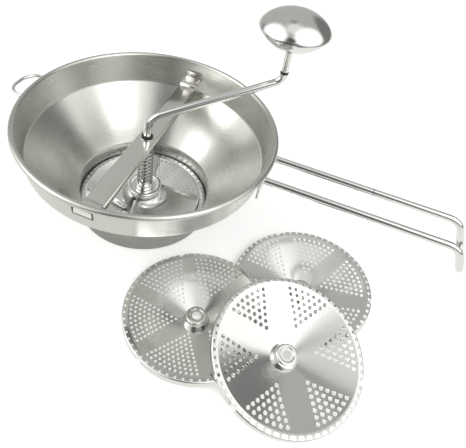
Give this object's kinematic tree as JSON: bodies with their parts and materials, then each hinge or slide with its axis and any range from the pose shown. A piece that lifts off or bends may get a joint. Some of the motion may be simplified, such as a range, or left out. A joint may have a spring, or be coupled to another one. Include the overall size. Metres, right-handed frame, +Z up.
{
  "type": "food mill",
  "caption": "Hand-cranked food mill: flared steel bowl with side handle, bridge bar, sprung wiping rotor over a perforated dished disc, and spare discs lying beside it.",
  "frame": {"origin": "on the bowl's axis, in the plane that the base ring stands on", "axes": "+Z up along the bowl and shaft axis, +X along the handle, +Y along one end of the bridge bar"},
  "size_m": [0.4346, 0.2949, 0.2102],
  "materials": {
    "bowl_steel": "fine spun brushing, satin",
    "polished_steel": "polished stainless steel",
    "disc_steel": "bright pressed sheet with punched holes",
    "machined_steel": "turned, lightly polished",
    "spring_steel": "drawn wire",
    "black_rubber": "matt black"
  },
  "bodies": {
    "mill": {"bowl": "bowl_steel", "handle_plate": "polished_steel", "handle_loop": "polished_steel", "rest_loop": "polished_steel", "bridge_bar": "bowl_steel", "bridge_bush": "machined_steel", "spring_washer": "machined_steel", "fitted_disc": "disc_steel", "fitted_disc_bush": "machined_steel"},
    "lift": {"spring_cup": "machined_steel", "spring": "spring_steel"},
    "crank": {"crank_rod": "polished_steel", "shaft_seal_ring": "black_rubber", "rotor_hub": "polished_steel", "rotor_wings": "polished_steel", "rotor_pin": "machined_steel", "knob_seal_ring": "black_rubber", "knob_rivet": "machined_steel"},
    "knob": {"knob_stem": "polished_steel", "knob_bottom_shell": "polished_steel", "knob_top_shell": "polished_steel"},
    "medium": {"medium_disc": "disc_steel", "medium_disc_bush": "machined_steel"},
    "fine": {"fine_disc": "disc_steel", "fine_disc_bush": "machined_steel"},
    "coarse": {"coarse_disc": "disc_steel", "coarse_disc_bush": "machined_steel"}
  },
  "joints": [
    {"name": "rotor_lift", "type": "slide", "parent": "mill", "child": "lift", "axis": [0, 0, 1], "range_m": [0, 0.005], "stiffness_N_per_m": 2000, "springref_m": -0.006, "deforming": ["spring"]},
    {"name": "crank_turn", "type": "hinge", "parent": "lift", "child": "crank", "pos_m": [0, 0, 0.05], "axis": [0, 0, 1], "continuous": true},
    {"name": "knob_spin", "type": "hinge", "parent": "crank", "child": "knob", "pos_m": [0.10064, 0.06536, 0.17], "axis": [0, 0, 1], "continuous": true},
    {"name": "medium_disc_lift", "type": "slide", "parent": "mill", "child": "medium", "axis": [0, 0, 1], "range_m": [0, 0.01]},
    {"name": "fine_disc_lift", "type": "slide", "parent": "medium", "child": "fine", "axis": [0, 0, 1], "range_m": [0, 0.01]},
    {"name": "coarse_disc_lift", "type": "slide", "parent": "fine", "child": "coarse", "axis": [0, 0, 1], "range_m": [0, 0.01]}
  ]
}
